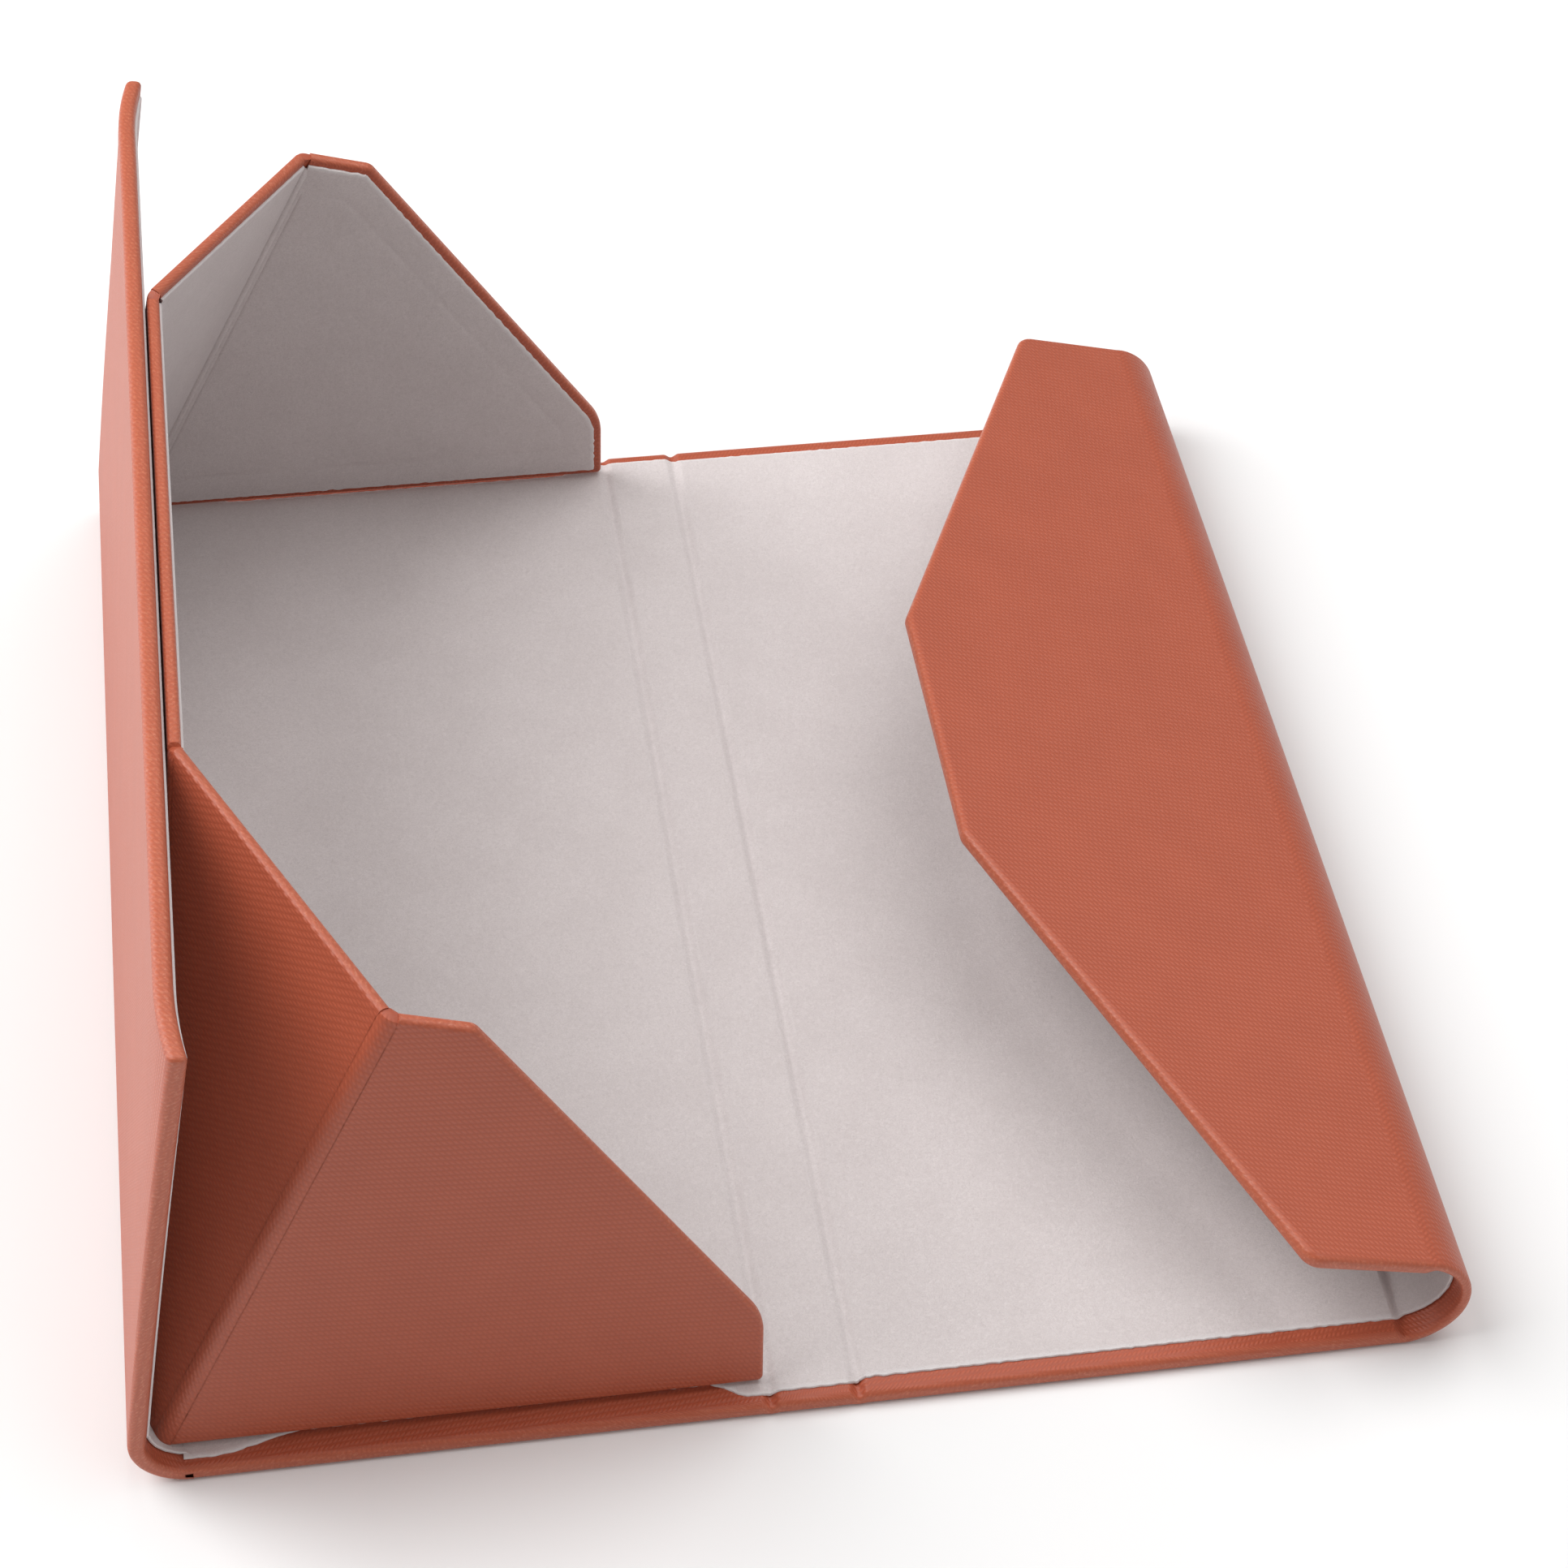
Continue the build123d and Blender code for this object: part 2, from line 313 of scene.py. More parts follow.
def closed_panel(name, panel, rows):
    """A closed form about a panel: rings of the outline, each from a row of free inset, joined
    inset, height, pattern offset, fold and pull. Flat rings shrink to a pole at each end.
    """
    rings, pattern, folds = [], [], []
    inward = panel.ring_normals()
    for free, joined, height, travel, fold, pull in rows:
        flat = panel.ring(free, joined) + inward * np.reshape(pull, (-1, 1))
        sheet = panel.ring(free - travel, joined - travel)
        rings.append((flat, height))
        pattern.append(sheet)
        folds.append(np.full(len(flat), fold))
    middle = panel.corners.mean(0)
    for end, order in ((0, 1), (-1, -1)):
        flat, height = rings[end]
        sheet = pattern[end]
        for share in FACE_SHARES[::-1]:
            new = (middle + share * (flat - middle), height)
            where = 0 if order == 1 else len(rings)
            rings.insert(where, new)
            pattern.insert(where, middle + share * (sheet - middle))
            folds.insert(where, np.zeros(len(flat)))
    count = len(rings[0][0])
    points = np.concatenate([panel.place(flat, height) for flat, height in rings]
                            + [panel.place(middle[None], rings[0][1]),
                               panel.place(middle[None], rings[-1][1])])
    pattern = np.concatenate(pattern + [middle[None], middle[None]])
    pattern[:, 0] += panel.u_shift
    folds = np.concatenate(folds + [np.zeros(2)])
    faces = ring_faces(len(rings), count)
    low, high, last = len(points) - 2, len(points) - 1, (len(rings) - 1) * count
    around = np.arange(count)
    after = (around + 1) % count
    faces += np.column_stack((np.full(count, low), after, around)).tolist()
    faces += np.column_stack((np.full(count, high), last + around, last + after)).tolist()
    return make_piece(name, points, faces, pattern, folds)


def quarter():
    """Sine and cosine over a quarter turn."""
    angles = np.linspace(0, math.pi / 2, ROUND_STEPS)
    return np.sin(angles), np.cos(angles)


def leather_rows(skin, board, rim, turn_in, radius):
    """Section of a leather cover from its outer face round the rim, in over the board and back.

    The rim is a quarter arc, a side and a second quarter arc. Joined sides stay square.
    """
    top = skin + board + TURN_IN_RISE
    sine, cosine = quarter()
    rows = [(radius + 0.3, 0.3, 0.0, 0.0, 0.0, 0.0)]
    arc = radius * math.pi / 2
    for i, (s, c) in enumerate(zip(sine, cosine)):
        travel = arc * i / (len(sine) - 1) - radius * s
        rows.append((radius * (1 - s), 0.0, radius * (1 - c), travel, s, 0.0))
    rise = top - 2 * radius
    for i, (s, c) in enumerate(zip(sine, cosine)):
        travel = arc + rise + arc * i / (len(sine) - 1) - radius + radius * (1 - c)
        rows.append((radius * (1 - c), 0.0, top - radius * (1 - s), travel, c, 0.0))
    flat_travel = 2 * arc + rise
    inner = skin + board
    rows.append((turn_in, rim, top, flat_travel, 0.0, 0.0))
    rows.append((turn_in + 0.1, rim + 0.02, inner, flat_travel, 0.0, 0.0))
    rows.append((rim, rim, inner, flat_travel, 0.0, 0.0))
    rows.append((rim, rim, skin, flat_travel, 0.0, 0.0))
    return rows


def ragged(count, size, seed):
    """Unevenness of a cut edge: a sum of sines whose height grows with the root of their length."""
    rng = np.random.default_rng(seed)
    lengths = rng.uniform(1.1, 3.0, 16)
    starts = rng.uniform(0, 2 * math.pi, 16)
    along = np.arange(count)[:, None] * EDGE_SPACING
    waves = np.sin(2 * math.pi * along / lengths + starts) * np.sqrt(lengths)
    return size * waves.sum(1) / np.sqrt((lengths / 2).sum())


def lining_rows(base, margin, pull, drawn_in, groove):
    """Section of a lining sheet: its underside, a cut edge that follows the pull and its nap side.

    All of it is drawn in by one more amount. A groove has a place from the edge, half a width and
    a depth. Each of its rows lies a little further from the joined sides, so that none coincide.
    """
    top = base + LINING
    rows = [
        (margin + 0.12, 0.0, base, 0.0, 0.0, drawn_in + pull),
        (margin, 0.0, base + 0.08, 0.0, 1.0, drawn_in + pull),
        (margin - 0.03, 0.0, top - 0.22, 0.0, 1.0, drawn_in + pull * 1.2),
        (margin + 0.05, 0.0, top - 0.08, 0.0, 1.0, drawn_in + pull),
        (margin + 0.22, 0.0, top - 0.02, 0.0, 0.6, drawn_in + pull * 0.6),
        (margin + 0.6, 0.0, top, 0.0, 0.0, drawn_in),
    ]
    if groove:
        place, width, depth = groove
        for step, share in ((-1, 0), (-0.4, 0.5), (0, 1), (0.4, 0.5), (1, 0)):
            rows.append((place + step * width, 0.1 * len(rows), top - depth * share, 0.0, 0.0, 0.0))
    return rows


# ======== strips that bend ========
def bend_path(start, start_way, end, end_way, lead, steps):
    """Section line from one panel's side to the next: a lead, an arc tangent to both, a lead.

    The two tangent lines meet in a corner. The arc starts the lead away from the first panel,
    so its radius is the rest of the way to the corner divided by the tangent of half the turn.
    A corner behind the first panel means that the strip turns the long way round.
    """
    matrix = np.column_stack((start_way, -end_way))
    reach = np.linalg.solve(matrix, end - start)
    corner = start + start_way * reach[0]
    turn = math.atan2(start_way[0] * end_way[1] - start_way[1] * end_way[0], start_way @ end_way)
    if reach[0] < 0:
        turn -= math.copysign(2 * math.pi, turn)
    radius = (reach[0] - lead) / math.tan(turn / 2)
    angles = np.linspace(0, turn, steps)
    side = np.array((-start_way[1], start_way[0]))
    centre = start + start_way * lead + side * radius
    arc = centre + radius * (np.sin(angles)[:, None] * start_way - np.cos(angles)[:, None] * side)
    ways = np.cos(angles)[:, None] * start_way + np.sin(angles)[:, None] * side
    return (np.concatenate((start[None], arc, end[None])),
            np.concatenate((start_way[None], ways, end_way[None])))


def swept_piece(name, path, inward, travel, across, height, fold, u_start):
    """A closed section carried along a path in the XZ plane, with a flat cap at each end.

    path and inward are (k, 2); across and height are (k, m): where the section's points lie
    along the case and above the path.
    """
    steps, count = height.shape
    lifted = path[:, None] + inward[:, None] * height[..., None]
    points = np.stack((lifted[..., 0], across, lifted[..., 1]), -1).reshape(-1, 3)
    round_it = np.cumsum(np.hypot(np.diff(across, axis=1), np.diff(height, axis=1)), axis=1)
    round_it = np.concatenate((np.zeros((steps, 1)), round_it), 1)
    pattern = np.stack((np.broadcast_to((u_start + travel)[:, None], height.shape),
                        round_it + across[:, :1]), -1).reshape(-1, 2)
    faces = capped_faces(steps, count)
    return make_piece(name, points, faces, pattern, np.broadcast_to(fold, height.shape).ravel())


def leather_section(half, rim_height, sheet, turn_in, radius):
    """Section of a boardless strip: outer face, rounded rims, thick turn-ins and inner face.

    The rim's height and its radius each have a value for every step along the strip.
    """
    sine, cosine = quarter()
    rim = rim_height[:, None]
    radius = radius[:, None]
    one = np.ones_like(rim)
    ys = [half * np.linspace(0, 0.98, 6) * one]
    hs = [np.zeros_like(ys[0])]
    folds = [np.zeros(6)]
    ys.append(half - radius + radius * sine)
    hs.append(radius - radius * cosine)
    folds.append(sine)
    ys.append(half - radius + radius * cosine)
    hs.append(rim - radius + radius * sine)
    folds.append(cosine)
    ys.append(np.array((half - turn_in, half - turn_in - 0.8)) * one)
    hs.append(np.concatenate((rim, sheet * one), 1))
    folds.append(np.zeros(2))
    ys, hs, folds = np.concatenate(ys, 1), np.concatenate(hs, 1), np.concatenate(folds)
    across = np.concatenate((-ys[:, :0:-1], ys, np.zeros_like(rim)), 1)
    height = np.concatenate((hs[:, :0:-1], hs, sheet * one), 1)
    return across, height, np.concatenate((folds[:0:-1], folds, [0.0]))


def lining_section(half, base, pull, lift):
    """Section of a lining strip: a sheet whose cut edges follow the pull and lift over the turn-ins.

    The rise is the lift times the share of the way over the turn-in, to the power 0.7.
    """
    inside = np.linspace(0, 1, 8) ** 0.5
    edge = (half + pull)[:, None]
    top_y = np.concatenate((edge * inside[:-1], edge - 0.35, edge - 0.1, edge), 1)
    rise = lift[:, None] * np.clip((top_y - (edge - LIFT_WIDTH)) / LIFT_WIDTH, 0, 1) ** 0.7
    drop = np.concatenate((np.zeros(7), [0.02, 0.06, 0.2]))
    top_h = base[:, None] + rise + LINING - drop
    none = np.zeros_like(edge)
    low_y = np.concatenate((edge, edge - 0.1, edge - LIFT_WIDTH, none), 1)
    low_h = base[:, None] + np.concatenate((rise[:, -1:] + 0.1, rise[:, -1:], none, none), 1)
    ys = np.concatenate((top_y, low_y), 1)
    hs = np.concatenate((top_h, low_h), 1)
    fold = np.concatenate((np.zeros(8), [0.6, 1.0, 1.0, 0.0, 0.0, 0.0]))
    across = np.concatenate((-ys[:, -2:0:-1], ys), 1)
    height = np.concatenate((hs[:, -2:0:-1], hs), 1)
    return across, height, np.concatenate((fold[-2:0:-1], fold))


def eased(share, whole):
    """Part of a whole that grows smoothly from none to all of it as a share goes from 0 to 1: the
    whole, times the share squared, times three less twice the share."""
    return whole * share * share * (3 - 2 * share)


def dip(travel, total, ends, middle, run):
    """A value that leaves its end value over a short run, smoothly, and stays at its middle value."""
    share = np.clip(np.minimum(travel, total - travel) / run, 0, 1)
    return ends + eased(share, middle - ends)


# ======== materials ========
def new_material(name):
    material = bpy.data.materials.new(name)
    material.use_nodes = True
    tree = material.node_tree
    tree.nodes.clear()
    output = tree.nodes.new("ShaderNodeOutputMaterial")
    shader = tree.nodes.new("ShaderNodeBsdfPrincipled")
    tree.links.new(shader.outputs["BSDF"], output.inputs["Surface"])
    return material, tree, shader


def feed(tree, made, slot, value):
    """Links another node's output to an input, or sets the input to a number or a colour."""
    if isinstance(value, bpy.types.NodeSocket):
        tree.links.new(value, made.inputs[slot])
    else:
        made.inputs[slot].default_value = value


def node(tree, kind, settings=None, **inputs):
    """A node with settings on itself, and inputs that are numbers, colours or other nodes' outputs."""
    made = tree.nodes.new("ShaderNode" + kind)
    for key, value in (settings or {}).items():
        setattr(made, key, value)
    for key, value in inputs.items():
        feed(tree, made, key.replace("_", " "), value)
    return made


def ramp(tree, value, stops, smooth=False):
    """A colour ramp over a value, from (place, colour) stops."""
    made = node(tree, "ValToRGB", Fac=value)
    made.color_ramp.interpolation = "EASE" if smooth else "LINEAR"
    while len(made.color_ramp.elements) < len(stops):
        made.color_ramp.elements.new(0.5)
    for element, (place, colour) in zip(made.color_ramp.elements, stops):
        element.position = place
        element.color = (*colour, 1.0)
    return made.outputs["Color"]


def mix(tree, share, first, second, blend="MIX"):
    made = node(tree, "Mix", {"data_type": "RGBA", "blend_type": blend})
    for slot, value in ((0, share), (6, first), (7, second)):
        feed(tree, made, slot, value)
    return made.outputs[2]


def maths(tree, operation, first, second=0.0, third=0.0):
    made = node(tree, "Math", {"operation": operation})
    for slot, value in enumerate((first, second, third)):
        feed(tree, made, slot, value)
    return made.outputs[0]


def leatherette():
    """Cross-hatch embossed coating: two families of fine slanting ridges that cut each other into
    short dashes in rows, with painted shade in their hollows and a painted highlight on their ridges, a
    broad unevenness under them, and paler, shinier specks on the folds.
    """
    material, tree, shader = new_material("leatherette")
    sheet = node(tree, "UVMap", {"uv_map": "Sheet"}).outputs["UV"]
    fold = node(tree, "Attribute", {"attribute_name": "fold"}).outputs["Fac"]
    hatches = []
    for turn, pitch in ((math.radians(86), 0.75), (math.radians(32), 0.5)):
        turned = node(tree, "Mapping", Vector=sheet, Rotation=(0, 0, turn)).outputs["Vector"]
        bands = {"wave_type": "BANDS", "bands_direction": "X", "wave_profile": "SIN"}
        wave = node(tree, "TexWave", bands, Vector=turned, Scale=0.314 / pitch, Distortion=0.9,
                    Detail=2.0, Detail_Scale=1.2)
        hatches.append(wave.outputs["Fac"])
    dash = maths(tree, "MULTIPLY", hatches[0], hatches[1])
    dash = maths(tree, "POWER", dash, 0.7)
    broad = node(tree, "TexNoise", Vector=sheet, Scale=0.11, Detail=3.0, Roughness=0.5).outputs["Fac"]
    grain = node(tree, "TexNoise", Vector=sheet, Scale=3.4, Detail=5.0, Roughness=0.6).outputs["Fac"]
    blotch = ramp(tree, broad, [(0.3, (0.47, 0.097, 0.041)), (0.7, (0.49, 0.103, 0.044))], True)
    # Painted shade and highlight of the emboss: the hollows are darker and redder as painted shade, the
    # ridges paler and whiter as a painted highlight.
    hollow = mix(tree, 1.0, blotch, (0.80, 0.72, 0.68, 1), "MULTIPLY")
    ridge = mix(tree, 1.0, blotch, (1.14, 1.2, 1.24, 1), "MULTIPLY")
    relief_shade_and_highlight = mix(tree, maths(tree, "MULTIPLY", dash, 0.45), hollow, ridge)
    speck = node(tree, "TexNoise", Vector=sheet, Scale=2.0, Detail=6.0, Roughness=0.75).outputs["Fac"]
    worn = maths(tree, "MULTIPLY", ramp(tree, speck, [(0.52, (0, 0, 0)), (0.62, (1, 1, 1))]), fold)
    faded = mix(tree, maths(tree, "MULTIPLY", fold, 0.18), relief_shade_and_highlight, (0.60, 0.18, 0.09, 1))
    colour = mix(tree, maths(tree, "MULTIPLY", worn, 0.3), faded, (0.72, 0.29, 0.17, 1))
    tree.links.new(colour, shader.inputs["Base Color"])
    rough = maths(tree, "MULTIPLY_ADD", grain, 0.22, 0.36)
    rough = maths(tree, "SUBTRACT", rough, maths(tree, "MULTIPLY", worn, 0.14))
    tree.links.new(rough, shader.inputs["Roughness"])
    height = maths(tree, "MULTIPLY_ADD", grain, 0.25, dash)
    calm = maths(tree, "MULTIPLY", height, maths(tree, "MULTIPLY_ADD", fold, -0.55, 1.0))
    fine = node(tree, "Bump", Height=calm, Strength=0.55, Distance=0.00009)
    soft = node(tree, "Bump", Height=broad, Strength=0.3, Distance=0.0004, Normal=fine.outputs["Normal"])
    tree.links.new(soft.outputs["Normal"], shader.inputs["Normal"])
    shader.inputs["Specular IOR Level"].default_value = 0.5
    shader.inputs["Sheen Weight"].default_value = 0.05
    shader.inputs["Sheen Roughness"].default_value = 0.45
    shader.inputs["Sheen Tint"].default_value = (1.0, 0.86, 0.84, 1.0)
    shader.inputs["Coat Weight"].default_value = 0.05
    shader.inputs["Coat Roughness"].default_value = 0.38
    return material


def microsuede():
    """Napped cloth: fine tangled fibres over cloudy patches where the nap lies differently, paler
    and looser at cut edges.
    """
    material, tree, shader = new_material("microsuede")
    sheet = node(tree, "UVMap", {"uv_map": "Sheet"}).outputs["UV"]
    fold = node(tree, "Attribute", {"attribute_name": "fold"}).outputs["Fac"]
    tangle = node(tree, "TexNoise", Vector=sheet, Scale=2.6, Detail=8.0, Roughness=0.72, Distortion=1.4)
    fibre = tangle.outputs["Fac"]
    tuft = node(tree, "TexNoise", Vector=sheet, Scale=0.75, Detail=4.0, Roughness=0.6).outputs["Fac"]
    cloud = node(tree, "TexNoise", Vector=sheet, Scale=0.09, Detail=3.0, Roughness=0.55).outputs["Fac"]
    base = ramp(tree, cloud, [(0.32, (0.645, 0.585, 0.58)), (0.68, (0.69, 0.63, 0.625))], True)
    mottled = mix(tree, maths(tree, "MULTIPLY", tuft, 0.6), base, (0.77, 0.71, 0.70, 1))
    fleck = ramp(tree, fibre, [(0.36, (0.5, 0.5, 0.5)), (0.62, (0, 0, 0))])
    flecked = mix(tree, fleck, mottled, (0.50, 0.44, 0.435, 1))
    colour = mix(tree, maths(tree, "MULTIPLY", fold, 0.5), flecked, (0.86, 0.84, 0.84, 1))
    tree.links.new(colour, shader.inputs["Base Color"])
    shader.inputs["Roughness"].default_value = 0.95
    shader.inputs["Specular IOR Level"].default_value = 0.15
    shader.inputs["Sheen Weight"].default_value = 0.35
    shader.inputs["Sheen Roughness"].default_value = 0.5
    shader.inputs["Sheen Tint"].default_value = (1.0, 0.96, 0.96, 1.0)
    nap = maths(tree, "MULTIPLY_ADD", tuft, 0.8, fibre)
    bump = node(tree, "Bump", Height=nap, Strength=0.6, Distance=0.00018)
    tree.links.new(bump.outputs["Normal"], shader.inputs["Normal"])
    return material


def greyboard():
    """Pressed waste paper: grey pulp with pale and dark fibres."""
    material, tree, shader = new_material("greyboard")
    place = node(tree, "TexCoord").outputs["Object"]
    fibres = node(tree, "TexNoise", Vector=place, Scale=900.0, Detail=6.0, Roughness=0.7, Distortion=2.0)
    pulp = fibres.outputs["Fac"]
    greys = [(0.3, (0.20, 0.19, 0.17)), (0.55, (0.33, 0.31, 0.28)), (0.75, (0.48, 0.46, 0.42))]
    colour = ramp(tree, pulp, greys)
    tree.links.new(colour, shader.inputs["Base Color"])
    shader.inputs["Roughness"].default_value = 0.9
    bump = node(tree, "Bump", Height=pulp, Strength=0.4, Distance=0.0001)
    tree.links.new(bump.outputs["Normal"], shader.inputs["Normal"])
    return material


def plated_magnet():
    """Nickel plate, brushed round and slightly dulled."""
    material, tree, shader = new_material("plated_magnet")
    place = node(tree, "TexCoord").outputs["Object"]
    brushed = node(tree, "TexNoise", Vector=place, Scale=2400.0, Detail=3.0, Roughness=0.6).outputs["Fac"]
    colour = ramp(tree, brushed, [(0.35, (0.50, 0.49, 0.47)), (0.65, (0.68, 0.67, 0.65))])
    tree.links.new(colour, shader.inputs["Base Color"])
    tree.links.new(maths(tree, "MULTIPLY_ADD", brushed, 0.2, 0.22), shader.inputs["Roughness"])
    shader.inputs["Metallic"].default_value = 1.0
    return material


def pale_floor():
    """Matt pale table with a very faint unevenness."""
    material, tree, shader = new_material("pale_floor")
    place = node(tree, "TexCoord").outputs["Object"]
    cloud = node(tree, "TexNoise", Vector=place, Scale=6.0, Detail=2.0).outputs["Fac"]
    colour = ramp(tree, cloud, [(0.3, (0.86, 0.86, 0.86)), (0.7, (0.89, 0.89, 0.89))])
    tree.links.new(colour, shader.inputs["Base Color"])
    shader.inputs["Roughness"].default_value = 0.85
    return material


LEATHER = leatherette()
SUEDE = microsuede()
BOARD = greyboard()
MAGNET = plated_magnet()


def dress(piece, material, nodes=()):
    """Gives a piece its material and slot, and hides the CAD nodes that it stands for."""
    piece.data.materials.append(material)
    if nodes:
        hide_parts(*nodes)


# ======== the panels ========
LENGTHWISE = np.array((0.0, 1.0, 0.0))
COVER_PANELS = {
    "base": ("base", lambda way: abs(way[0]) > 0.5),
    "fold_strip": ("fold_strip", lambda way: abs(way[0]) > 0.5),
    "front": ("front_panel", lambda way: abs(way[0]) > 0.5),
    "flap": ("flap", lambda way: way[0] > 0.5),
    "back_wall": ("back_wall", lambda way: way[2] < -0.5),
}
TRAY_PANELS = {
    "tray_wall": ("back_wall", lambda way: way[2] < 0.8),
    "near_gusset": ("near_gusset", lambda way: way[0] < -0.5),
    "far_gusset": ("far_gusset", lambda way: way[0] < -0.5),
    "near_corner_facet": ("near_corner", lambda way: way[2] < 0),
    "far_corner_facet": ("far_corner", lambda way: way[2] < 0),
}
panels = {}
for name, (_, is_joined) in {**COVER_PANELS, **TRAY_PANELS}.items():
    is_lengthwise = name in COVER_PANELS or name == "tray_wall"
    panels[name] = Panel(name, is_joined, LENGTHWISE if is_lengthwise else None)


def section_plane(point):
    """A point or direction of the frame in the XZ plane, where the strips' paths lie."""
    return np.array((point[0], point[2]))


def strip_between(low, high, steps):
    """Path, inward directions and travel of the soft strip from one panel's side to the next's."""
    start = section_plane(panels[low].side_point(panels[low].across))
    end = section_plane(panels[high].side_point(-panels[high].across))
    start_way, end_way = section_plane(panels[low].across), section_plane(panels[high].across)
    if abs(start_way @ end_way) > PARALLEL:
        path = start + np.linspace(0, 1, steps)[:, None] * (end - start)
        ways = np.tile(start_way, (steps, 1))
    else:
        path, ways = bend_path(start, start_way, end, end_way, BEND_LEAD, steps)
    inward = np.column_stack((-ways[:, 1], ways[:, 0]))
    travel = np.concatenate(([0.0], np.cumsum(np.linalg.norm(np.diff(path, axis=0), axis=1))))
    return path, inward, travel


# Panels on both sides, steps along the path, rim height and lining margin in the middle.
STRIPS = {
    "back_spine": ("back_wall", "base", 24, BACK_SPINE_RIM, BACK_SPINE_LINING_MARGIN),
    "strip_crease": ("base", "fold_strip", 13, CREASE_RIM, COVER_LINING_MARGIN),
    "front_crease": ("fold_strip", "front", 13, CREASE_RIM, COVER_LINING_MARGIN),
    "flap_spine": ("front", "flap", 48, SPINE_RIM, SPINE_LINING_MARGIN),
}
paths = {}
for name, (low, high, steps, *_) in STRIPS.items():
    paths[name] = strip_between(low, high, steps)

half_length = panels["base"].corners[:, 1].max()
wall_low, wall_high = panels["back_wall"].corners[:, 0].max(), panels["back_wall"].corners[:, 0].min()


def curled_ends(flat):
    """Inward curl of the back wall's free ends: it grows with the square of the way up the wall
    and with the square of the way from where the curl starts to the end."""
    up = np.clip((wall_low - flat[:, 0]) / (wall_low - wall_high), 0, 1)
    out = np.clip((np.abs(flat[:, 1]) - WALL_CURL_START) / (half_length - WALL_CURL_START), 0, 1)
    return WALL_CURL * up ** 2 * out ** 2


panels["back_wall"].bow = curled_ends

# The pattern runs on from panel to panel over the strips, starting from the base.
for name, low, high in (("strip_crease", "base", "fold_strip"), ("front_crease", "fold_strip", "front"),
                        ("flap_spine", "front", "flap")):
    low_side = panels[low].corners[:, 0].max() + panels[low].u_shift
    panels[high].u_shift = low_side + paths[name][2][-1] - panels[high].corners[:, 0].min()
panels["back_wall"].u_shift = (panels["base"].corners[:, 0].min() - paths["back_spine"][2][-1]
                               - panels["back_wall"].corners[:, 0].max())


def retreat(panel):
    """How much further in the base's lining ends under the gussets than at the base's two sides.

    It grows smoothly away from each side: from a start, over a run.
    """
    u = panel.ring(0, 0)[:, 0]
    low, high = panel.corners[:, 0].min(), panel.corners[:, 0].max()
    (low_start, low_run), (high_start, high_run) = RETREAT_AT_SPINE, RETREAT_AT_STRIP
    share = np.clip(np.minimum((u - low - low_start) / low_run, (high - high_start - u) / high_run), 0, 1)
    return eased(share, BASE_LINING_RETREAT)


BODY_OF = {name: body for name, (body, _) in {**COVER_PANELS, **TRAY_PANELS}.items()}
for seed, (name, panel) in enumerate(panels.items()):
    if name in COVER_PANELS:
        rows = leather_rows(COVER_SKIN, COVER_BOARD, COVER_RIM, COVER_TURN_IN, COVER_EDGE_RADIUS)
        base = COVER_SKIN + COVER_BOARD
        margin = LINING_MARGINS.get(name, COVER_LINING_MARGIN)
    else:
        rows = leather_rows(TRAY_SKIN, TRAY_BOARD, TRAY_RIM, TRAY_TURN_IN, TRAY_EDGE_RADIUS)
        base = TRAY_SKIN + TRAY_BOARD
        margin = TRAY_LINING_MARGIN
    cover = closed_panel(name + "_leather", panel, rows)
    dress(cover, LEATHER, [name + "_cover"])
    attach(cover, BODY_OF[name])
    pull = ragged(len(panel.ring_normals()), RAGGED_EDGE, seed)
    drawn_in = retreat(panel) if name == "base" else 0.0
    groove = GUSSET_GROOVE if name.endswith("gusset") else None
    lining = closed_panel(name + "_suede", panel, lining_rows(base, margin, pull, drawn_in, groove))
    dress(lining, SUEDE, [name + "_lining"])
    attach(lining, BODY_OF[name])


# ======== the strips ========
board_top = COVER_SKIN + COVER_BOARD
panel_rim = board_top + TURN_IN_RISE
STRIP_BODIES = {
    "back_spine": ("base", "back_wall"),
    "strip_crease": ("base", "fold_strip"),
    "front_crease": ("fold_strip", "front_panel"),
    "flap_spine": ("front_panel", "flap"),
}
for seed, (name, (low, high, _, rim, margin)) in enumerate(STRIPS.items()):
    path, inward, travel = paths[name]
    total = travel[-1]
    is_long = total > LONG_STRIP
    u_start = panels[low].corners[:, 0].max() + panels[low].u_shift
    run = min(RIM_RUN, total / 2)
    rim_height = dip(travel, total, panel_rim, rim, run)
    edge_radius = dip(travel, total, COVER_EDGE_RADIUS, STRIP_EDGE_RADIUS, run)
    across, height, fold = leather_section(half_length, rim_height, COVER_SKIN, COVER_TURN_IN, edge_radius)
    cover = swept_piece(name + "_leather", path, inward, travel, across, height, fold, u_start)
    dress(cover, LEATHER, [name + "_cover"])
    lining_base = dip(travel, total, board_top, COVER_SKIN + 0.1 if is_long else board_top - 0.4, run)
    lift = dip(travel, total, 0.0, rim - COVER_SKIN if is_long else 0.0, run)
    side_margins = [LINING_MARGINS.get(side, COVER_LINING_MARGIN) for side in (low, high)]
    side_margin = np.interp(travel, (0, total), side_margins)
    middle_margin = margin if is_long else side_margin
    half = half_length - dip(travel, total, side_margin, middle_margin, MARGIN_RUN)
    pull = ragged(len(travel), RAGGED_EDGE, 100 + seed) * dip(travel, total, 0.0, 1.0, run)
    across, lining_height, fold = lining_section(half, lining_base, -pull, lift)
    lining = swept_piece(name + "_suede", path, inward, travel, across, lining_height, fold, u_start)
    dress(lining, SUEDE, [name + "_lining"])
    first, second = STRIP_BODIES[name]
    ends = [np.array((x, 0.0, z)) * MM for x, z in (path[0], path[-1])]
    if first != BODY_OF[low]:
        ends = ends[::-1]
    for piece in (cover, lining):
        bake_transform(piece)


